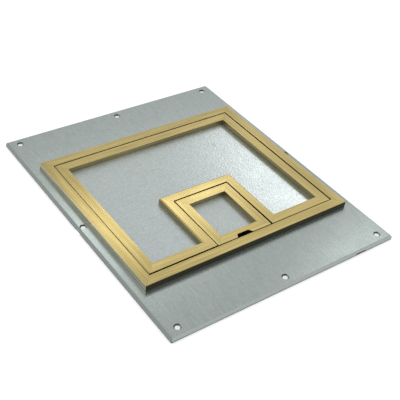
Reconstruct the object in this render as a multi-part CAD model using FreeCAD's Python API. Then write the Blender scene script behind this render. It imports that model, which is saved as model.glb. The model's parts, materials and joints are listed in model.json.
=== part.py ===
import FreeCAD, Part
import math
import os

# Floor box cover: folded steel plate, brass rails, swinging door and cable lid.
# Millimetres. X runs along the plate's short side, Y to its back, Z up.
# The origin is the middle of the plate's underside.

# Folded base plate
plate_width = 305.0
plate_depth = 369.0
plate_top = 4.8
sheet = 1.5
bend_radius = 2.6
plate_corner_radius = 1.2
lip_seam = 0.4

# Fixing holes of the plate
hole_radius = 2.8
hole_sink_radius = 4.1
hole_side_inset = 14.4
hole_end_inset = 11.4
hole_mid_inset = 6.4

# Pry notch in the front lip
pry_notch_from_right = 50.6
pry_notch_width = 14.4
pry_notch_height = 2.6

# Brass rails
rail_width = 12.0
rail_top = 12.0
edge_round = 0.35
outer_edge_round = 0.5
port_edge_round = 1.9
mitre_gap = 0.1

# Groove along the foot of the rails that guides their hidden screws
groove_width = 2.6
groove_depth = 1.8
groove_from_far_edge = 3.2

# Opening inside the fixed frame
frame_open_width = 255.0
frame_open_depth = 211.0

# Gaps round the door as it sits
rest_gap = 0.3
door_gap_left = 0.4
door_gap_right = 1.7
door_gap_back = 1.2
door_gap_front = 0.6
front_left_setback = 0.95

# Cable port in the door and the gaps round its lid
port_middle_x = -0.8
port_width = 76.6
port_depth = 87.7
lid_gap_left = 0.8
lid_gap_right = 1.65
lid_gap_back = 1.5
lid_gap_front = 0.77
lid_turn = -0.3

# Finger notch of the cable lid
notch_mouth = 21.5
notch_floor = 15.3
notch_depth = 5.1
notch_corner_radius = 1.0

# Sheets under the rails
ledge = 4.8
pan_inset = 5.5
cut_corner_radius = 1.5

# Hidden pivots
pin_radius = 1.5
pin_length = 15.5
pin_set_back = 6.5
pin_below_top = 3.2
pin_reach = 4.4
pin_running_gap = 0.08
pin_press_gap = 0.01
pin_end_gap = 0.4
swing_relief = 7.0

# Flush rivet in the door pan
rivet_from_right = 51.2
rivet_from_back = 45.8
rivet_head_radius = 3.2
rivet_radius = 1.6
rivet_land = 0.4
rivet_tail_radius = 2.4
rivet_tail_height = 0.9

extra = 5.0
up = FreeCAD.Vector(0, 0, 1)

os.makedirs("parts", exist_ok=True)


def save(shape, node):
    shape.exportStep("parts/" + node + ".step")


def box(x0, x1, y0, y1, z0, z1):
    return Part.makeBox(x1 - x0, y1 - y0, z1 - z0, FreeCAD.Vector(x0, y0, z0))


def rod(radius, x, y, z0, z1):
    return Part.makeCylinder(radius, z1 - z0, FreeCAD.Vector(x, y, z0))


def cone(low_radius, high_radius, x, y, z0, z1):
    return Part.makeCone(low_radius, high_radius, z1 - z0, FreeCAD.Vector(x, y, z0))


def slab(points, z0, z1):
    corners = [FreeCAD.Vector(x, y, z0) for x, y in points]
    face = Part.Face(Part.makePolygon(corners + corners[:1]))
    return face.extrude(up * (z1 - z0))


def round_slab(x0, x1, y0, y1, z0, z1, radius):
    block = box(x0, x1, y0, y1, z0, z1)
    upright = [e for e in block.Edges if abs(e.tangentAt(e.FirstParameter).z) > 0.9]
    return block.makeFillet(radius, upright)


def edges_at(shape, z):
    return [e for e in shape.Edges if abs(e.BoundBox.ZMin - z) < 0.001]


def rectangle(x0, x1, y0, y1):
    return [(x0, y0), (x0, y1), (x1, y1), (x1, y0)]


# Rail stock: a flat bar with eased top edges and a guide groove in its foot

def bar_profile(start, across, height, near_round, far_round):
    def at(u, z):
        return start + across * u + up * z

    def line(a, b):
        return Part.LineSegment(a, b).toShape()

    w = rail_width
    rise = height - far_round
    fall = height - near_round
    bow = 1 - math.sqrt(0.5)
    far_arc = Part.Arc(
        at(w, rise),
        at(w - far_round * bow, height - far_round * bow),
        at(w - far_round, height)).toShape()
    near_arc = Part.Arc(
        at(near_round, height),
        at(near_round * bow, height - near_round * bow),
        at(0, fall)).toShape()
    middle = w - groove_from_far_edge
    left = middle - groove_width / 2
    right = middle + groove_width / 2
    return Part.Face(Part.Wire([
        line(at(0, 0), at(left, 0)),
        line(at(left, 0), at(left, groove_depth)),
        line(at(left, groove_depth), at(right, groove_depth)),
        line(at(right, groove_depth), at(right, 0)),
        line(at(right, 0), at(w, 0)),
        line(at(w, 0), at(w, rise)),
        far_arc,
        line(at(w - far_round, height), at(near_round, height)),
        near_arc,
        line(at(0, fall), at(0, 0))]))


# One rail sawn from the stock, mitred at both ends.
# The near side faces the gap, the far side lies away from it.

def mitred_rail(near_a, near_b, far_a, far_b, z_low, near_round, far_round):
    a = FreeCAD.Vector(near_a[0], near_a[1], z_low)
    b = FreeCAD.Vector(near_b[0], near_b[1], z_low)
    along = (b - a).normalize()
    across = up.cross(along)
    if across.dot(FreeCAD.Vector(far_a[0], far_a[1], z_low) - a) < 0:
        across = across * -1
    overrun = rail_width + extra
    profile = bar_profile(a - along * overrun, across, rail_top - z_low, near_round, far_round)
    bar = profile.extrude(along * ((b - a).Length + 2 * overrun))
    trim = mitre_gap * math.sqrt(0.5)
    outline = []
    for point, sign in ((near_a, 1), (near_b, -1), (far_b, -1), (far_a, 1)):
        outline.append((point[0] + along.x * trim * sign, point[1] + along.y * trim * sign))
    return bar.common(slab(outline, z_low - extra, rail_top + extra)).removeSplitter()


def rail_loop(near, far, z_low, near_round, far_rounds):
    rails = []
    for i in range(len(near)):
        j = (i + 1) % len(near)
        rails.append(mitred_rail(near[i], near[j], far[i], far[j], z_low, near_round, far_rounds[i]))
    return rails


# Pivot pins and the holes they sit in

def pivot(x0, x1, y, radius):
    return Part.makeCylinder(
        radius, x1 - x0, FreeCAD.Vector(x0, y, rail_top - pin_below_top), FreeCAD.Vector(1, 0, 0))


def pressed_hole(x0, x1, y):
    return pivot(x0, x1, y, pin_radius + pin_press_gap)


def running_hole(x0, x1, y):
    return pivot(x0, x1, y, pin_radius + pin_running_gap)


# Levels and edges that follow from the sizes above
plate_under = plate_top - sheet
door_low = plate_top + rest_gap
lid_low = door_low + rest_gap

open_x = frame_open_width / 2
open_y = frame_open_depth / 2

door_left = -open_x + door_gap_left
door_right = open_x - door_gap_right
door_back = open_y - door_gap_back
door_front = -open_y + door_gap_front
door_front_left = door_front + front_left_setback
door_pin_y = door_back - pin_set_back
door_pin_left_end = door_left + pin_reach
door_pin_right_end = door_right - pin_reach

port_left = port_middle_x - port_width / 2
port_right = port_middle_x + port_width / 2
port_back = -open_y + port_depth

lid_left = port_left + lid_gap_left
lid_right = port_right - lid_gap_right
lid_back = port_back - lid_gap_back
lid_front = -open_y + lid_gap_front
lid_pin_y = lid_back - pin_set_back
lid_pin_left_end = lid_left + pin_reach
lid_pin_right_end = lid_right - pin_reach
lid_middle = FreeCAD.Vector((lid_left + lid_right) / 2, (lid_front + lid_back) / 2, 0)


# An opening that widens at its back, where the pivoted rail swings down

def stepped_opening(x0, x1, wide_x0, wide_x1, front, pin_y, back, z):
    z0 = z - sheet - extra
    z1 = z + extra
    main = round_slab(x0, x1, front, back - cut_corner_radius, z0, z1, cut_corner_radius)
    swing = round_slab(wide_x0, wide_x1, pin_y - swing_relief, back, z0, z1, cut_corner_radius)
    return main.fuse(swing).removeSplitter()


def folded_plate():
    x = plate_width / 2
    y = plate_depth / 2
    outer = round_slab(-x, x, -y, y, 0, plate_top, plate_corner_radius)
    outer = outer.makeFillet(bend_radius, edges_at(outer, plate_top))
    inner = box(-x + sheet, x - sheet, -y + sheet, y - sheet, -extra, plate_under)
    inner = inner.makeFillet(bend_radius - sheet, edges_at(inner, plate_under))
    plate = outer.cut(inner)
    reach = 2 * sheet + plate_corner_radius
    for sx in (-1, 1):
        for sy in (-1, 1):
            slit = box(-reach, reach, -lip_seam / 2, lip_seam / 2, -extra, plate_top - bend_radius)
            slit.rotate(FreeCAD.Vector(0, 0, 0), up, 45 * sx * sy)
            slit.translate(FreeCAD.Vector(sx * (x - sheet / 2), sy * (y - sheet / 2), 0))
            plate = plate.cut(slit)
    return plate


def fixing_holes():
    x = plate_width / 2
    y = plate_depth / 2
    spots = [(0, -y + hole_end_inset), (0, y - hole_end_inset)]
    spots += [(-x + hole_mid_inset, 0), (x - hole_mid_inset, 0)]
    for sx in (-1, 1):
        for sy in (-1, 1):
            spots.append((sx * (x - hole_side_inset), sy * (y - hole_end_inset)))
    sink = hole_sink_radius - hole_radius
    cutters = []
    for hx, hy in spots:
        through = rod(hole_radius, hx, hy, -extra, plate_top + extra)
        countersink = cone(hole_radius, hole_sink_radius, hx, hy, plate_top - sink, plate_top)
        cutters.append(through.fuse(countersink))
    return cutters


def base_plate():
    plate = folded_plate()
    for cutter in fixing_holes():
        plate = plate.cut(cutter)
    door_opening = stepped_opening(
        door_left + ledge, door_right - ledge, -open_x, open_x,
        door_front + ledge, door_pin_y, open_y, plate_top)
    middle = plate_width / 2 - pry_notch_from_right
    half = pry_notch_width / 2
    front = -plate_depth / 2
    pry_notch = box(
        middle - half, middle + half, front - extra, front + extra, -extra, pry_notch_height)
    mouth = notch_mouth / 2
    finger_room = box(
        lid_middle.x - mouth, lid_middle.x + mouth, -open_y, door_front + ledge + sheet,
        plate_under - extra, plate_top + extra)
    return plate.cut(door_opening).cut(pry_notch).cut(finger_room)


def finger_notch():
    middle = lid_middle.x
    mouth = notch_mouth / 2
    floor = notch_floor / 2
    flare = (mouth - floor) / notch_depth * extra
    front = lid_front - extra
    end = lid_front + notch_depth
    cutter = slab(
        [(middle - mouth - flare, front), (middle + mouth + flare, front),
         (middle + floor, end), (middle - floor, end)],
        lid_low - extra, rail_top + extra)
    corners = [
        e for e in cutter.Edges
        if abs(e.tangentAt(e.FirstParameter).z) > 0.9 and abs(e.BoundBox.YMin - end) < 0.001]
    return cutter.makeFillet(notch_corner_radius, corners)


# Base plate and the four rails of the fixed frame
save(base_plate(), "base_plate")

frame_near = rectangle(-open_x, open_x, -open_y, open_y)
frame_far = rectangle(
    -open_x - rail_width, open_x + rail_width, -open_y - rail_width, open_y + rail_width)
frame_rails = rail_loop(frame_near, frame_far, plate_top, edge_round, [outer_edge_round] * 4)
frame_pin_holes = {
    "left": pressed_hole(door_pin_left_end - pin_length, -open_x + extra, door_pin_y),
    "right": pressed_hole(open_x - extra, door_pin_right_end + pin_length, door_pin_y)}
for name, rail in zip(["left", "back", "right", "front"], frame_rails):
    if name in frame_pin_holes:
        rail = rail.cut(frame_pin_holes[name])
    save(rail, "frame_rail_" + name)

save(pivot(door_pin_left_end - pin_length, door_pin_left_end, door_pin_y, pin_radius), "door_pin_left")
save(pivot(door_pin_right_end, door_pin_right_end + pin_length, door_pin_y, pin_radius), "door_pin_right")

# Door: one closed run of eight rails round the pan and the cable port
w = rail_width
door_near = [
    (door_left, door_front_left), (door_left, door_back), (door_right, door_back),
    (door_right, door_front), (port_right, door_front), (port_right, port_back),
    (port_left, port_back), (port_left, door_front_left)]
door_far = [
    (door_left + w, door_front_left + w), (door_left + w, door_back - w),
    (door_right - w, door_back - w), (door_right - w, door_front + w),
    (port_right + w, door_front + w), (port_right + w, port_back + w),
    (port_left - w, port_back + w), (port_left - w, door_front_left + w)]
door_names = [
    "door_rail_left", "door_rail_back", "door_rail_right", "door_rail_front_right",
    "port_rail_right", "port_rail_back", "port_rail_left", "door_rail_front_left"]
door_far_rounds = [port_edge_round if n.startswith("port") else edge_round for n in door_names]
door_rails = rail_loop(door_near, door_far, door_low, edge_round, door_far_rounds)
door_pin_holes = {
    "door_rail_left": running_hole(
        door_left - extra, door_pin_left_end + pin_end_gap, door_pin_y),
    "door_rail_right": running_hole(
        door_pin_right_end - pin_end_gap, door_right + extra, door_pin_y),
    "port_rail_left": pressed_hole(
        lid_pin_left_end - pin_length, port_left + extra, lid_pin_y),
    "port_rail_right": pressed_hole(
        port_right - extra, lid_pin_right_end + pin_length, lid_pin_y)}
for name, rail in zip(door_names, door_rails):
    if name in door_pin_holes:
        rail = rail.cut(door_pin_holes[name])
    save(rail, name)

# Door pan, open at its front for the cable port, with a flush rivet
rivet_x = door_right - rivet_from_right
rivet_y = door_back - rivet_from_back
door_under = door_low - sheet
port_opening = stepped_opening(
    lid_left + ledge, lid_right - ledge, port_left, port_right,
    -open_y - extra, lid_pin_y, port_back, door_low)
rivet_head = cone(
    rivet_radius, rivet_head_radius, rivet_x, rivet_y, door_under + rivet_land, door_low)
rivet_hole = rod(rivet_radius, rivet_x, rivet_y, door_under - extra, door_low).fuse(rivet_head)
door_pan = round_slab(
    door_left + pan_inset, door_right - pan_inset, door_front + pan_inset, door_back - pan_inset,
    door_under, door_low, cut_corner_radius)
save(door_pan.cut(port_opening).cut(rivet_hole), "door_pan")

rivet_foot = door_under - rivet_tail_height
rivet_stem = rod(rivet_radius, rivet_x, rivet_y, rivet_foot, door_under + rivet_land)
rivet_tail = cone(rivet_radius, rivet_tail_radius, rivet_x, rivet_y, rivet_foot, door_under)
save(rivet_head.fuse(rivet_stem).fuse(rivet_tail).removeSplitter(), "pan_rivet")

save(pivot(lid_pin_left_end - pin_length, lid_pin_left_end, lid_pin_y, pin_radius), "port_pin_left")
save(pivot(lid_pin_right_end, lid_pin_right_end + pin_length, lid_pin_y, pin_radius), "port_pin_right")

# Cable lid, which sits slightly turned in its port

def turned(shape):
    shape = shape.copy()
    shape.rotate(lid_middle, up, lid_turn)
    return shape


lid_near = rectangle(lid_left, lid_right, lid_front, lid_back)
lid_far = rectangle(lid_left + w, lid_right - w, lid_front + w, lid_back - w)
lid_rails = rail_loop(lid_near, lid_far, lid_low, edge_round, [edge_round] * 4)
lid_pin_holes = {
    "left": running_hole(lid_left - extra, lid_pin_left_end + pin_end_gap, lid_pin_y),
    "right": running_hole(lid_pin_right_end - pin_end_gap, lid_right + extra, lid_pin_y)}
for name, rail in zip(["left", "back", "right", "front"], lid_rails):
    if name == "front":
        rail = rail.cut(finger_notch())
    rail = turned(rail)
    if name in lid_pin_holes:
        rail = rail.cut(lid_pin_holes[name])
    save(rail, "lid_rail_" + name)

lid_pan = round_slab(
    lid_left + pan_inset, lid_right - pan_inset, lid_front + pan_inset, lid_back - pan_inset,
    lid_low - sheet, lid_low, cut_corner_radius)
save(turned(lid_pan), "lid_pan")
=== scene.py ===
import bpy
import bmesh
import json
import math
from mathutils import Matrix, Vector


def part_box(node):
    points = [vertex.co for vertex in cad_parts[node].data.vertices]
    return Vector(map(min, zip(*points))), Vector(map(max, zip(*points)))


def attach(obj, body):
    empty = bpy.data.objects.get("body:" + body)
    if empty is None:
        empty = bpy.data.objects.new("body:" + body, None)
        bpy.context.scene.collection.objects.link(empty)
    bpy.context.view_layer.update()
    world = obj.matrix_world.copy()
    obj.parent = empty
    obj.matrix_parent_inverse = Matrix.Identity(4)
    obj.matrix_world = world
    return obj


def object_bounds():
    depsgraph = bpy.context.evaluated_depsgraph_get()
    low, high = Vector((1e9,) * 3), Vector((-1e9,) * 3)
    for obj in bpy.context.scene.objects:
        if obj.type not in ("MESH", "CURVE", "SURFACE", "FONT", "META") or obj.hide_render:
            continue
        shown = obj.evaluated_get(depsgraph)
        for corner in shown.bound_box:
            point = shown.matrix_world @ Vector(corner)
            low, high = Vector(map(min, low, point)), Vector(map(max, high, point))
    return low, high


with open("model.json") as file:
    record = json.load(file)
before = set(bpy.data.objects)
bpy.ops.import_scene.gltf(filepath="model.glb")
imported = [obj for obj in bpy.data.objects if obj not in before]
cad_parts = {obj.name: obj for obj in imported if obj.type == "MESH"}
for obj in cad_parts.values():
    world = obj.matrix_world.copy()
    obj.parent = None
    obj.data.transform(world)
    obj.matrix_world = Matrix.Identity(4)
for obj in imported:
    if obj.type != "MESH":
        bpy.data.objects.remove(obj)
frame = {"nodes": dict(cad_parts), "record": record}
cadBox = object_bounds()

scene = bpy.context.scene
nodes = frame["nodes"]
mm = 0.001


# Node helpers

def toLinear(red, green, blue):
    def one(value):
        value = value / 255
        if value <= 0.04045:
            return value / 12.92
        return ((value + 0.055) / 1.055) ** 2.4
    return (one(red), one(green), one(blue), 1)


def plug(tree, socket, value):
    if isinstance(value, bpy.types.NodeSocket):
        tree.links.new(value, socket)
    elif value is not None:
        socket.default_value = value


def addNode(tree, kind, inputs=(), **settings):
    node = tree.nodes.new(kind)
    for key, value in settings.items():
        setattr(node, key, value)
    for name, value in dict(inputs).items():
        plug(tree, node.inputs[name], value)
    return node


def calc(tree, operation, a, b=None, c=None):
    node = addNode(tree, "ShaderNodeMath", operation=operation)
    for index, value in enumerate((a, b, c)):
        plug(tree, node.inputs[index], value)
    return node.outputs[0]


def blendColour(tree, factor, a, b, how="MIX"):
    node = addNode(tree, "ShaderNodeMix", data_type="RGBA", blend_type=how)
    plug(tree, node.inputs[0], factor)
    plug(tree, node.inputs[6], a)
    plug(tree, node.inputs[7], b)
    return node.outputs[2]


def span(tree, value, low, high, outLow=0.0, outHigh=1.0):
    node = addNode(tree, "ShaderNodeMapRange", clamp=True)
    for index, item in enumerate((value, low, high, outLow, outHigh)):
        plug(tree, node.inputs[index], item)
    return node.outputs[0]


# A factor that swings about 1 by an amount to each side
def swing(tree, value, amount, low=0.0, high=1.0):
    return span(tree, value, low, high, 1.0 - amount, 1.0 + amount)


def grey(tree, value):
    node = addNode(tree, "ShaderNodeCombineColor", {"Red": value, "Green": value, "Blue": value})
    return node.outputs[0]


def noise(tree, vector, scale, detail=2.0, rough=0.5):
    return addNode(tree, "ShaderNodeTexNoise", {
        "Vector": vector, "Scale": scale, "Detail": detail, "Roughness": rough}).outputs["Fac"]


def emptyTree(owner):
    owner.use_nodes = True
    owner.node_tree.nodes.clear()
    return owner.node_tree


def newGroup(name, inputs, outputs):
    group = bpy.data.node_groups.new(name, "ShaderNodeTree")
    for label, kind, value in inputs:
        socket = group.interface.new_socket(label, in_out="INPUT", socket_type=kind)
        if value is not None:
            socket.default_value = value
    for label, kind in outputs:
        group.interface.new_socket(label, in_out="OUTPUT", socket_type=kind)
    return group, group.nodes.new("NodeGroupInput"), group.nodes.new("NodeGroupOutput")


def useGroup(tree, group, inputs=()):
    node = tree.nodes.new("ShaderNodeGroup")
    node.node_tree = group
    for name, value in dict(inputs).items():
        plug(tree, node.inputs[name], value)
    return node


# Brushed grain: lines run along the vector's Y, in millimetres
grainShape = {
    "driftScale": 0.09, "sway": 10.0, "streakWidth": 6.0, "streakLength": 3.5, "streakBand": (0.32, 0.68),
    "patchScale": 0.028, "patchBand": (0.35, 0.65), "patchDetail": 3.0,
    "rippleLine": 1.1, "rippleLength": 2.6, "rippleDetail": 1.0, "lineDetail": 3.0, "lineRough": 0.6}


def buildGrain():
    group, given, out = newGroup(
        "BrushedGrain",
        [("Vector", "NodeSocketVector", None), ("Line", "NodeSocketFloat", 0.3),
         ("Length", "NodeSocketFloat", 14.0), ("Wave", "NodeSocketFloat", 0.4)],
        [("Fine", "NodeSocketFloat"), ("Streak", "NodeSocketFloat"), ("Patch", "NodeSocketFloat"),
         ("Ripple", "NodeSocketFloat")])
    shape = grainShape
    vector = given.outputs["Vector"]
    drift = noise(group, vector, shape["driftScale"])
    parts = addNode(group, "ShaderNodeSeparateXYZ", {"Vector": vector})
    sway = calc(group, "MULTIPLY", calc(group, "SUBTRACT", drift, 0.5), given.outputs["Wave"])
    sway = calc(group, "MULTIPLY", sway, shape["sway"])
    acrossX = calc(group, "ADD", parts.outputs[0], sway)

    def lines(line, length, detail=shape["lineDetail"]):
        stretched = addNode(group, "ShaderNodeCombineXYZ", {
            "X": calc(group, "DIVIDE", acrossX, line),
            "Y": calc(group, "DIVIDE", parts.outputs[1], length),
            "Z": calc(group, "DIVIDE", parts.outputs[2], line)})
        return noise(group, stretched.outputs[0], 1.0, detail, shape["lineRough"])

    line = given.outputs["Line"]
    length = given.outputs["Length"]
    streak = lines(
        calc(group, "MULTIPLY", line, shape["streakWidth"]),
        calc(group, "MULTIPLY", length, shape["streakLength"]))
    patch = noise(group, vector, shape["patchScale"], shape["patchDetail"])
    plug(group, out.inputs["Fine"], lines(line, length))
    plug(group, out.inputs["Streak"], span(group, streak, *shape["streakBand"]))
    plug(group, out.inputs["Patch"], span(group, patch, *shape["patchBand"]))
    ripple = lines(shape["rippleLine"], shape["rippleLength"], shape["rippleDetail"])
    plug(group, out.inputs["Ripple"], ripple)
    return group


# Marks of handling: short scuffs and specks of dust, in millimetres
markShape = {
    "scuffTurn": 0.6, "scuffScale": (1.6, 0.07, 1.0), "scuffBand": (0.7, 0.78),
    "areaScale": 0.05, "areaBand": (0.5, 0.62), "speckScale": 1.1, "speckBand": (0.74, 0.8)}


def buildMarks():
    group, given, out = newGroup(
        "HandlingMarks",
        [("Vector", "NodeSocketVector", None), ("Scuffs", "NodeSocketFloat", 0.5),
         ("Dust", "NodeSocketFloat", 0.5)],
        [("Scuff", "NodeSocketFloat"), ("Speck", "NodeSocketFloat")])
    shape = markShape
    vector = given.outputs["Vector"]
    turned = addNode(group, "ShaderNodeMapping", {
        "Vector": vector, "Rotation": (0, 0, shape["scuffTurn"]), "Scale": shape["scuffScale"]})
    scuff = span(group, noise(group, turned.outputs[0], 1.0, 1.0), *shape["scuffBand"])
    area = span(group, noise(group, vector, shape["areaScale"]), *shape["areaBand"])
    scuff = calc(group, "MULTIPLY", calc(group, "MULTIPLY", scuff, area), given.outputs["Scuffs"])
    speck = span(group, noise(group, vector, shape["speckScale"], 0.0), *shape["speckBand"])
    speck = calc(group, "MULTIPLY", speck, given.outputs["Dust"])
    plug(group, out.inputs["Scuff"], scuff)
    plug(group, out.inputs["Speck"], speck)
    return group


# Painted shade: darkens the faces inside the narrow gap round a rectangle, in millimetres
gapFade = 0.6


def buildGapPaintedShade():
    group, given, out = newGroup(
        "GapPaintedShade",
        [("Vector", "NodeSocketVector", None), ("Middle X", "NodeSocketFloat", 0.0),
         ("Middle Y", "NodeSocketFloat", 0.0), ("Half X", "NodeSocketFloat", 100.0),
         ("Half Y", "NodeSocketFloat", 100.0), ("Reach", "NodeSocketFloat", 1.5)],
        [("PaintedShade", "NodeSocketFloat")])
    parts = addNode(group, "ShaderNodeSeparateXYZ", {"Vector": given.outputs["Vector"]})

    def beyond(index, middle, half):
        away = calc(group, "SUBTRACT", parts.outputs[index], given.outputs[middle])
        return calc(group, "SUBTRACT", calc(group, "ABSOLUTE", away), given.outputs[half])

    farthest = calc(group, "MAXIMUM", beyond(0, "Middle X", "Half X"), beyond(1, "Middle Y", "Half Y"))
    distance = calc(group, "ABSOLUTE", farthest)
    reach = given.outputs["Reach"]
    end = calc(group, "ADD", reach, gapFade)
    plug(group, out.inputs["PaintedShade"], span(group, distance, reach, end, 1.0, 0.0))
    return group


grainGroup = buildGrain()
marksGroup = buildMarks()
paintedShadeGroup = buildGapPaintedShade()

# The two gaps that open when the door or the lid does, whose faces get painted shade, in millimetres
gaps = {
    "door": {"Middle X": -0.6, "Middle Y": 0.0, "Half X": 126.7, "Half Y": 104.9, "Reach": 1.3},
    "lid": {"Middle X": -0.9, "Middle Y": -61.4, "Half X": 37.9, "Half Y": 42.9, "Reach": 1.5}}


# Where the masks start and end, on the part of a face's normal that points up, or to the front for
# frontBand and sideways for flankFade. sideBand is added to a look's sideFrom, footFade is a height
maskShape = {
    "sideBand": (-0.2, 0.1), "edgeStart": (0.3, 0.5), "edgeEnd": (0.93, 0.99), "gapBand": (0.8, 0.97),
    "frontBand": (0.15, 0.4), "flankFade": 0.3, "footFade": 1.2}

# The stretch of the grain's noise that changes tone and roughness, and how far a look's rough changes
noiseShape = {"toneBand": (0.3, 0.7), "roughBand": (0.25, 0.75), "roughRange": (-0.04, 0.05)}


# One metal: its colours, which way it is brushed, and how its sides, edges and gaps differ, with painted
# light and shade on its edges, flanks, fronts, feet and gaps, and on the plate's sides
def metal(name, look):
    material = bpy.data.materials.new(name)
    tree = emptyTree(material)
    place = addNode(tree, "ShaderNodeTexCoord").outputs["Object"]
    scaled = addNode(tree, "ShaderNodeVectorMath", operation="SCALE")
    plug(tree, scaled.inputs[0], place)
    scaled.inputs["Scale"].default_value = 1 / mm
    vector = scaled.outputs[0]
    x, y, z = addNode(tree, "ShaderNodeSeparateXYZ", {"Vector": vector}).outputs
    grainVector = vector
    if look["grainAlong"] == "x":
        grainVector = addNode(tree, "ShaderNodeCombineXYZ", {"X": y, "Y": x, "Z": z}).outputs[0]
    grain = useGroup(tree, grainGroup, {
        "Vector": grainVector, "Line": look["grainLine"], "Length": look["grainLength"],
        "Wave": look["grainWave"]})
    marks = useGroup(tree, marksGroup, {
        "Vector": vector, "Scuffs": look["scuffs"], "Dust": look["dust"]})

    # Masks from the face's own direction and place
    normal = addNode(tree, "ShaderNodeNewGeometry").outputs["Normal"]
    inside = addNode(tree, "ShaderNodeVectorTransform", {"Vector": normal},
                     vector_type="NORMAL", convert_from="WORLD", convert_to="OBJECT")
    normalX, normalY, up = addNode(tree, "ShaderNodeSeparateXYZ", {"Vector": inside.outputs[0]}).outputs
    sideStart, sideEnd = maskShape["sideBand"]
    side = span(tree, up, look["sideFrom"] + sideStart, look["sideFrom"] + sideEnd, 1.0, 0.0)
    # Rounded edges between top and side take a lighter colour: a painted highlight
    edge = calc(tree, "MULTIPLY", span(tree, up, *maskShape["edgeStart"]),
                span(tree, up, *maskShape["edgeEnd"], 1.0, 0.0))
    # Faces turned sideways beyond an x take painted light and shade: the brass frame's left face is
    # painted lighter, the plate's side lips darker
    flankEnd = look["flankFrom"] + maskShape["flankFade"]
    flankLightAndShade = span(tree, calc(tree, "ABSOLUTE", normalX), look["flankFrom"], flankEnd)
    flankLightAndShade = calc(tree, "MULTIPLY", flankLightAndShade, span(tree, x, look["flankClear"], look["flankFull"]))
    # Painted shade on the faces inside the gaps round the door and the lid
    paintedShade = None
    for gap in gaps.values():
        found = useGroup(tree, paintedShadeGroup, dict(gap, Vector=vector)).outputs["PaintedShade"]
        paintedShade = found if paintedShade is None else calc(tree, "MAXIMUM", paintedShade, found)
    inGap = calc(tree, "MULTIPLY", paintedShade, span(tree, up, *maskShape["gapBand"], 1.0, 0.0))
    # Painted shade along the foot of side faces, where the rails stand on the plate and the lips on the
    # floor
    footStart = look["footTop"] - maskShape["footFade"]
    footShade = span(tree, z, footStart, look["footTop"], look["footShadeAmount"], 0.0)
    gapAndFootShade = calc(tree, "MAXIMUM", inGap, calc(tree, "MULTIPLY", footShade, side))
    # Painted shade on faces that face the front: the brass front faces, and on the plate the walls at the
    # back of the screw holes
    frontward = span(tree, calc(tree, "MULTIPLY", normalY, -1.0), *maskShape["frontBand"])
    frontShade = calc(tree, "MULTIPLY", frontward,
                   span(tree, y, look["frontShadeClear"], look["frontShadeFull"]))

    def coat(below, mask, part):
        share = calc(tree, "MULTIPLY", mask, look[part + "Amount"])
        return blendColour(tree, share, below, look[part])

    colour = blendColour(tree, grain.outputs["Streak"], look["dark"], look["light"])
    colour = coat(colour, grain.outputs["Patch"], "patch")
    fineTone = swing(tree, grain.outputs["Fine"], look["grainTone"], *noiseShape["toneBand"])
    rippleTone = swing(tree, grain.outputs["Ripple"], look["rippleTone"], *noiseShape["toneBand"])
    tone = grey(tree, calc(tree, "MULTIPLY", fineTone, rippleTone))
    colour = blendColour(tree, 1.0, colour, tone, "MULTIPLY")
    colour = blendColour(tree, marks.outputs["Scuff"], colour, look["scuffColour"])
    colour = blendColour(tree, marks.outputs["Speck"], colour, look["dustColour"])
    # Side faces take the look's side colour; on the plate and the pans it is lighter than the top, as
    # painted light
    colour = coat(colour, side, "side")
    # Painted highlight on the rounded edges
    colour = coat(colour, edge, "edge")
    # Painted light and shade on the sideways faces
    colour = coat(colour, flankLightAndShade, "flankLightAndShade")
    sideTone = swing(tree, grain.outputs["Streak"], look["sideStreak"])
    colour = blendColour(tree, side, colour, grey(tree, sideTone), "MULTIPLY")
    # Painted shade on the front faces
    colour = coat(colour, frontShade, "frontShade")
    # Painted shade in the gaps and along the feet
    colour = coat(colour, gapAndFootShade, "paintedShade")

    smoothest, roughest = [look["rough"] + step for step in noiseShape["roughRange"]]
    rough = span(tree, grain.outputs["Fine"], *noiseShape["roughBand"], smoothest, roughest)
    rough = calc(tree, "MULTIPLY_ADD", grain.outputs["Patch"], look["roughPatch"], rough)
    rough = calc(tree, "MULTIPLY_ADD", side, look["sideRough"], rough)
    height = calc(tree, "MULTIPLY", grain.outputs["Fine"], look["fineHeight"])
    height = calc(tree, "MULTIPLY_ADD", grain.outputs["Ripple"], look["rippleHeight"], height)
    bump = addNode(tree, "ShaderNodeBump", {"Strength": 1.0, "Distance": mm, "Height": height})

    tangent = addNode(tree, "ShaderNodeVectorTransform", vector_type="VECTOR",
                      convert_from="OBJECT", convert_to="WORLD")
    tangent.inputs[0].default_value = (0.0, 1.0, 0.0) if look["grainAlong"] == "x" else (1.0, 0.0, 0.0)
    shader = addNode(tree, "ShaderNodeBsdfPrincipled", {
        "Base Color": colour, "Roughness": rough, "Metallic": look["metallic"],
        "Anisotropic": look["anisotropic"], "Normal": bump.outputs[0],
        "Tangent": tangent.outputs[0]})
    out = addNode(tree, "ShaderNodeOutputMaterial")
    tree.links.new(shader.outputs[0], out.inputs[0])
    return material


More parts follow.
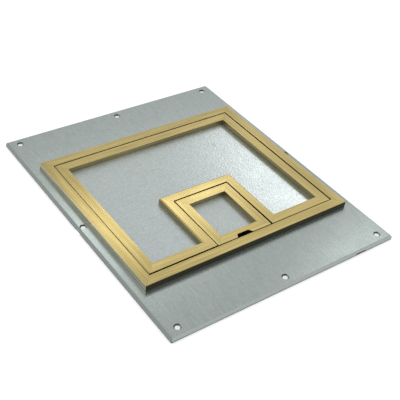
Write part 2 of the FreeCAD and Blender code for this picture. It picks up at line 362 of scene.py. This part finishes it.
# In each look, the edge, flank, front, gap and foot colours are painted light and shade, and so is the
# plate's lighter side colour
plateLook = {
    "dark": toLinear(139, 147, 144), "light": toLinear(148, 156, 153),
    "patch": toLinear(137, 145, 142), "patchAmount": 0.35,
    "side": toLinear(170, 178, 174), "sideAmount": 0.8, "sideRough": 0.05, "sideFrom": 0.3,
    "sideStreak": 0.0, "edge": toLinear(172, 180, 176), "edgeAmount": 0.7,
    "flankLightAndShade": toLinear(126, 134, 130), "flankLightAndShadeAmount": 0.85, "flankFrom": 0.15,
    "flankClear": 300.0, "flankFull": 200.0,
    "frontShade": toLinear(40, 44, 42), "frontShadeAmount": 0.9, "frontShadeClear": -181.0, "frontShadeFull": -179.0,
    "paintedShade": toLinear(40, 42, 40), "paintedShadeAmount": 0.9, "footShadeAmount": 0.6, "footTop": 2.0,
    "grainAlong": "y", "grainLine": 0.35, "grainLength": 5.0, "grainWave": 0.25, "grainTone": 0.09,
    "rough": 0.26, "roughPatch": 0.03, "fineHeight": 0.006, "rippleHeight": 0.05, "rippleTone": 0.03,
    "metallic": 0.85, "anisotropic": 0.2,
    "scuffs": 0.35, "scuffColour": toLinear(196, 202, 200),
    "dust": 0.2, "dustColour": toLinear(120, 124, 120)}
panLook = dict(plateLook)
panLook.update({
    "dark": toLinear(175, 183, 182), "light": toLinear(184, 192, 191),
    "patch": toLinear(178, 186, 184), "patchAmount": 0.3,
    "grainAlong": "x", "grainLine": 0.3, "grainLength": 4.0, "grainWave": 0.9,
    "rough": 0.33, "anisotropic": 0.8, "scuffs": 0.25, "rippleHeight": 0.2, "rippleTone": 0.09,
    "frontShadeAmount": 0.0, "flankLightAndShadeAmount": 0.0, "footShadeAmount": 0.0})
brassLook = {
    "dark": toLinear(139, 125, 79), "light": toLinear(162, 146, 97),
    "patch": toLinear(150, 136, 86), "patchAmount": 0.3,
    "side": toLinear(156, 146, 112), "sideAmount": 0.85, "sideRough": 0.06, "sideFrom": 0.45,
    "sideStreak": 0.35, "edge": toLinear(190, 174, 118), "edgeAmount": 0.45,
    "flankLightAndShade": toLinear(236, 232, 212), "flankLightAndShadeAmount": 0.9, "flankFrom": 0.6,
    "flankClear": -136.0, "flankFull": -137.0,
    "frontShade": toLinear(66, 66, 56), "frontShadeAmount": 0.88, "frontShadeClear": -99.5, "frontShadeFull": -101.0,
    "paintedShade": toLinear(34, 28, 14), "paintedShadeAmount": 0.93, "footShadeAmount": 0.35, "footTop": 6.2,
    "grainAlong": "x", "grainLine": 0.7, "grainLength": 45.0, "grainWave": 0.02, "grainTone": 0.16,
    "rough": 0.225, "roughPatch": 0.03, "fineHeight": 0.004, "rippleHeight": 0.0, "rippleTone": 0.0,
    "metallic": 1.0, "anisotropic": 0.1,
    "scuffs": 0.3, "scuffColour": toLinear(226, 208, 146),
    "dust": 0.15, "dustColour": toLinear(120, 104, 60)}
pinLook = dict(plateLook)
pinLook.update({
    "dark": toLinear(150, 152, 150), "light": toLinear(176, 178, 176), "grainLine": 0.15,
    "grainLength": 3.0, "rough": 0.3, "anisotropic": 0.3,
    "frontShadeAmount": 0.0, "flankLightAndShadeAmount": 0.0, "footShadeAmount": 0.0})

plateSteel = metal("PlateSteel", plateLook)
panSteel = metal("PanSteel", panLook)
brassAlongX = metal("BrassAlongX", brassLook)
brassAlongY = metal("BrassAlongY", dict(brassLook, grainAlong="y"))
pinSteel = metal("PinSteel", pinLook)
print("materials built")


def paint(node, material):
    piece = nodes[node]
    if not piece.material_slots:
        piece.data.materials.append(material)
    for slot in piece.material_slots:
        slot.material = material


for node in nodes:
    if node == "base_plate":
        paint(node, plateSteel)
    elif node.endswith("_pan"):
        paint(node, panSteel)
    elif "rail" in node:
        low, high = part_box(node)
        runsAlongX = high[0] - low[0] > high[1] - low[1]
        paint(node, brassAlongX if runsAlongX else brassAlongY)
    else:
        paint(node, pinSteel)
print("construction nodes painted")


# Small screws that hold the sheets to the rails, seen from below, in millimetres
screwLook = {
    "headRadius": 2.3, "headHeight": 1.1, "shankRadius": 1.25, "shankLength": 5.0,
    "headCurve": 3.2, "recess": 0.7, "armWidth": 0.42, "armReach": 1.35, "armFade": 0.35, "armCurve": 4,
    "weld": 0.001, "segments": 32, "rings": 9, "seed": 7, "endInset": 30.0, "endShare": 0.3,
    "edgeInset": 3.2, "sheet": 1.5}


def screwMesh(look):
    mesh = bpy.data.meshes.new("ScrewStock")
    form = bmesh.new()
    count = look["segments"]

    def ringAt(radius, height):
        ring = []
        for step in range(count):
            angle = 2 * math.pi * step / count
            x = radius * math.cos(angle)
            y = radius * math.sin(angle)
            ring.append(form.verts.new((x * mm, y * mm, height(x, y) * mm)))
        return ring

    def dome(x, y):
        reach = math.hypot(x, y) / look["headRadius"]
        level = -look["headHeight"] * math.sqrt(max(0.0, 1 - reach ** look["headCurve"]))
        near = min(abs(x), abs(y))
        far = max(abs(x), abs(y))
        cut = max(0.0, 1 - (near / look["armWidth"]) ** look["armCurve"])
        cut *= max(0.0, min(1.0, (look["armReach"] - far) / look["armFade"]))
        return level + look["recess"] * cut

    rings = []
    for step in range(1, look["rings"] + 1):
        radius = look["headRadius"] * step / look["rings"]
        rings.append(ringAt(radius, dome))
    middle = form.verts.new((0, 0, dome(0, 0) * mm))
    rings.append(ringAt(look["headRadius"], lambda x, y: 0.0))
    rings.append(ringAt(look["shankRadius"], lambda x, y: 0.0))
    rings.append(ringAt(look["shankRadius"], lambda x, y: look["shankLength"]))
    for step in range(count):
        form.faces.new((middle, rings[0][(step + 1) % count], rings[0][step]))
    for inner, outer in zip(rings, rings[1:]):
        for step in range(count):
            follow = (step + 1) % count
            form.faces.new((inner[step], inner[follow], outer[follow], outer[step]))
    form.faces.new(rings[-1])
    bmesh.ops.remove_doubles(form, verts=form.verts, dist=look["weld"] * mm)
    bmesh.ops.recalc_face_normals(form, faces=form.faces)
    for face in form.faces:
        face.smooth = True
    form.to_mesh(mesh)
    form.free()
    return mesh


def buildScrewTree():
    tree = bpy.data.node_groups.new("ScrewRow", "GeometryNodeTree")
    face = tree.interface
    face.new_socket("Geometry", in_out="INPUT", socket_type="NodeSocketGeometry")
    face.new_socket("Screw", in_out="INPUT", socket_type="NodeSocketObject")
    face.new_socket("Seed", in_out="INPUT", socket_type="NodeSocketInt")
    face.new_socket("Material", in_out="INPUT", socket_type="NodeSocketMaterial")
    face.new_socket("Geometry", in_out="OUTPUT", socket_type="NodeSocketGeometry")
    given = tree.nodes.new("NodeGroupInput")
    out = tree.nodes.new("NodeGroupOutput")
    info = addNode(tree, "GeometryNodeObjectInfo", {"Object": given.outputs["Screw"]})
    turn = addNode(tree, "FunctionNodeRandomValue", data_type="FLOAT")
    turn.inputs[2].default_value = 0.0
    turn.inputs[3].default_value = 2 * math.pi
    plug(tree, turn.inputs["Seed"], given.outputs["Seed"])
    about = addNode(tree, "ShaderNodeCombineXYZ", {"Z": turn.outputs[1]})
    rotation = addNode(tree, "FunctionNodeEulerToRotation", {"Euler": about.outputs[0]})
    placed = addNode(tree, "GeometryNodeInstanceOnPoints", {
        "Points": given.outputs["Geometry"], "Instance": info.outputs["Geometry"],
        "Rotation": rotation.outputs[0]})
    real = addNode(tree, "GeometryNodeRealizeInstances", {"Geometry": placed.outputs[0]})
    painted = addNode(tree, "GeometryNodeSetMaterial", {
        "Geometry": real.outputs[0], "Material": given.outputs["Material"]})
    tree.links.new(painted.outputs[0], out.inputs[0])
    return tree


screwTree = buildScrewTree()
screwStock = bpy.data.objects.new("ScrewStock", screwMesh(screwLook))


# Places the screws of one body: each rail gives how many it has and which side its far edge is on
def screwRow(name, body, rails):
    edgeInset = screwLook["edgeInset"] * mm
    spots = []
    for node, count, farSide in rails:
        low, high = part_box(node)
        under = low[2] - screwLook["sheet"] * mm
        alongX = farSide in ("front", "back")
        start, end = (low[0], high[0]) if alongX else (low[1], high[1])
        inset = min(screwLook["endInset"] * mm, (end - start) * screwLook["endShare"])
        for step in range(count):
            share = step / (count - 1) if count > 1 else 0.5
            along = start + inset + (end - start - 2 * inset) * share
            edge = {"front": low[1], "back": high[1], "left": low[0], "right": high[0]}[farSide]
            across = edge + (edgeInset if farSide in ("front", "left") else -edgeInset)
            spots.append((along, across, under) if alongX else (across, along, under))
    mesh = bpy.data.meshes.new(name + "Spots")
    mesh.from_pydata(spots, [], [])
    piece = bpy.data.objects.new(name, mesh)
    scene.collection.objects.link(piece)
    modifier = piece.modifiers.new("ScrewRow", "NODES")
    modifier.node_group = screwTree
    wanted = {"Screw": screwStock, "Seed": screwLook["seed"], "Material": pinSteel}
    for item in screwTree.interface.items_tree:
        if item.in_out == "INPUT" and item.name in wanted:
            modifier[item.identifier] = wanted[item.name]
    bpy.context.view_layer.update()
    evaluated = piece.evaluated_get(bpy.context.evaluated_depsgraph_get())
    baked = bpy.data.meshes.new_from_object(evaluated)
    piece.modifiers.clear()
    piece.data = baked
    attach(piece, body)


scene.collection.objects.link(screwStock)
screwRow("frame_screws", "base", [
    ("frame_rail_left", 2, "left"), ("frame_rail_right", 2, "right"),
    ("frame_rail_back", 3, "back"), ("frame_rail_front", 3, "front")])
screwRow("door_screws", "door", [
    ("door_rail_left", 2, "right"), ("door_rail_right", 2, "left"), ("door_rail_back", 3, "front"),
    ("door_rail_front_left", 1, "back"), ("door_rail_front_right", 1, "back"),
    ("port_rail_left", 2, "left"), ("port_rail_right", 2, "right"), ("port_rail_back", 2, "back")])
screwRow("lid_screws", "lid", [
    ("lid_rail_left", 2, "right"), ("lid_rail_right", 2, "left"),
    ("lid_rail_back", 2, "front"), ("lid_rail_front", 2, "back")])
bpy.data.objects.remove(screwStock)
print("screws placed")


# Floor, world, lamps and camera
studio = {
    "floorSize": 14.0, "floorDrop": 0.0003, "floorAlbedo": 0.9, "floorLift": 0.22,
    "underPlateShade": 0.06, "boxInset": 0.0009, "boxFade": 0.0006,
    "holeGlow": 0.8, "holeReach": 0.006, "holeFade": 0.004, "worldStrength": 1.0}

# The brass and the pans don't mirror the same lamp in the photo, so three lamps light only some pieces
lamps = {
    "RightSoftbox": {"place": (1.025, 0.434, 1.08), "size": (0.2, 0.2), "power": 0.72},
    "BackStrip": {
        "place": (0.535, 1.019, 1.08), "size": (0.87, 0.09), "power": 1.72, "link": "EXCLUDE",
        "linked": ("door_pan", "lid_pan")},
    "PanStrip": {
        "place": (1.215, 1.0, 1.08), "size": (0.24, 0.6), "power": 1.75, "link": "INCLUDE",
        "linked": ("door_pan",)},
    "RailSoftbox": {
        "place": (1.12, 0.84, 1.09), "size": (0.6, 0.6), "power": 0.62, "link": "INCLUDE",
        "linked": [node for node in nodes if "rail" in node]}}


def seenRays(tree):
    rays = addNode(tree, "ShaderNodeLightPath")
    shown = calc(tree, "MAXIMUM", rays.outputs["Is Camera Ray"], rays.outputs["Is Glossy Ray"])
    return calc(tree, "MAXIMUM", shown, rays.outputs["Is Transmission Ray"])


# The screw holes in one quarter of the plate: a pattern with no spacing along an axis lies on the other
def holeSpots():
    spots = []
    for mount in frame["record"]["mounts"]:
        if mount["kind"] == "bolt_pattern":
            dims = mount["dims"]
            across = dims.get("spacing_x_mm", 0) / 2 * mm
            along = dims.get("spacing_y_mm", 0) / 2 * mm
            spots.append((across, along, 0))
    return spots


# White, but painted dark under the plate as shade, for the floor box below it, and glowing white under
# the screw holes as painted light
def floorMaterial():
    material = bpy.data.materials.new("FloorWhite")
    tree = emptyTree(material)
    place = addNode(tree, "ShaderNodeTexCoord").outputs["Object"]
    parts = addNode(tree, "ShaderNodeSeparateXYZ", {"Vector": place})
    awayX = calc(tree, "ABSOLUTE", parts.outputs[0])
    awayY = calc(tree, "ABSOLUTE", parts.outputs[1])

    def beyond(away, half):
        start = half - studio["boxInset"]
        return span(tree, away, start, start + studio["boxFade"])

    outside = calc(tree, "MAXIMUM", beyond(awayX, cadBox[1][0]), beyond(awayY, cadBox[1][1]))
    # Painted shade: the floor under the plate is made dark
    albedo = span(tree, outside, 0.0, 1.0, studio["underPlateShade"], studio["floorAlbedo"])
    matte = addNode(tree, "ShaderNodeBsdfDiffuse", {"Color": grey(tree, albedo)})
    liftAndHoleGlow = calc(tree, "MULTIPLY", outside, studio["floorLift"])
    away = addNode(tree, "ShaderNodeCombineXYZ", {"X": awayX, "Y": awayY}).outputs[0]
    holeEnd = studio["holeReach"] + studio["holeFade"]
    # Painted light: spots under the screw holes glow white for camera and glossy rays
    for spot in holeSpots():
        reach = addNode(tree, "ShaderNodeVectorMath", operation="DISTANCE")
        plug(tree, reach.inputs[0], away)
        reach.inputs[1].default_value = spot
        under = span(tree, reach.outputs["Value"], studio["holeReach"], holeEnd, studio["holeGlow"], 0.0)
        liftAndHoleGlow = calc(tree, "MAXIMUM", liftAndHoleGlow, under)
    liftAndHoleGlow = calc(tree, "MULTIPLY", liftAndHoleGlow, seenRays(tree))
    glow = addNode(tree, "ShaderNodeEmission", {"Color": (1, 1, 1, 1), "Strength": liftAndHoleGlow})
    both = addNode(tree, "ShaderNodeAddShader")
    tree.links.new(matte.outputs[0], both.inputs[0])
    tree.links.new(glow.outputs[0], both.inputs[1])
    out = addNode(tree, "ShaderNodeOutputMaterial")
    tree.links.new(both.outputs[0], out.inputs[0])
    return material


def buildFloor():
    half = studio["floorSize"] / 2
    corners = [(-half, -half, 0), (half, -half, 0), (half, half, 0), (-half, half, 0)]
    mesh = bpy.data.meshes.new("Floor")
    mesh.from_pydata(corners, [], [(0, 1, 2, 3)])
    mesh.materials.append(floorMaterial())
    floor = bpy.data.objects.new("Floor", mesh)
    floor.matrix_world = Matrix.Translation((0, 0, -studio["floorDrop"]))
    scene.collection.objects.link(floor)


def buildWorld():
    world = bpy.data.worlds.new("Studio")
    scene.world = world
    tree = emptyTree(world)
    strength = span(tree, seenRays(tree), 0.0, 1.0, studio["worldStrength"], 1.0)
    sky = addNode(tree, "ShaderNodeBackground", {"Color": (1, 1, 1, 1), "Strength": strength})
    out = addNode(tree, "ShaderNodeOutputWorld")
    tree.links.new(sky.outputs[0], out.inputs[0])


def facingOrigin(place):
    outward = Vector(place).normalized()
    side = Vector((1, 0, 0))
    side = (side - outward * side.dot(outward)).normalized()
    turn = Matrix((side, outward.cross(side), outward)).transposed()
    return Matrix.Translation(place) @ turn.to_4x4()


# A lamp with a link lights only its linked nodes, or all but them
def buildLamp(name, lamp):
    data = bpy.data.lights.new(name, "AREA")
    data.shape = "RECTANGLE"
    data.size, data.size_y = lamp["size"]
    data.energy = lamp["power"]
    item = bpy.data.objects.new(name, data)
    item.matrix_world = facingOrigin(lamp["place"])
    scene.collection.objects.link(item)
    if "link" in lamp:
        receivers = bpy.data.collections.new(name + "Receivers")
        for node in lamp["linked"]:
            receivers.objects.link(nodes[node])
        for entry in receivers.collection_objects:
            entry.light_linking.link_state = lamp["link"]
        item.light_linking.receiver_collection = receivers


# Camera as in the photograph
view = {
    "place": (-0.4668, -0.5798, 0.5840), "right": (0.8117, -0.57654, 0.09351),
    "down": (-0.30456, -0.55441, -0.77451), "ahead": (0.49838, 0.60019, -0.62561),
    "lens": 71.41, "sensor": 36.0, "clipStart": 0.01}


def buildCamera():
    data = bpy.data.cameras.new("Camera")
    data.sensor_width = view["sensor"]
    data.lens = view["lens"]
    data.clip_start = view["clipStart"]
    camera = bpy.data.objects.new("Camera", data)
    up = [-part for part in view["down"]]
    behind = [-part for part in view["ahead"]]
    axes = Matrix((view["right"], up, behind)).transposed()
    camera.matrix_world = Matrix.Translation(view["place"]) @ axes.to_4x4()
    scene.collection.objects.link(camera)
    scene.camera = camera


buildFloor()
buildWorld()
for name, lamp in lamps.items():
    buildLamp(name, lamp)
buildCamera()
scene.view_settings.view_transform = "Standard"
print("studio set")
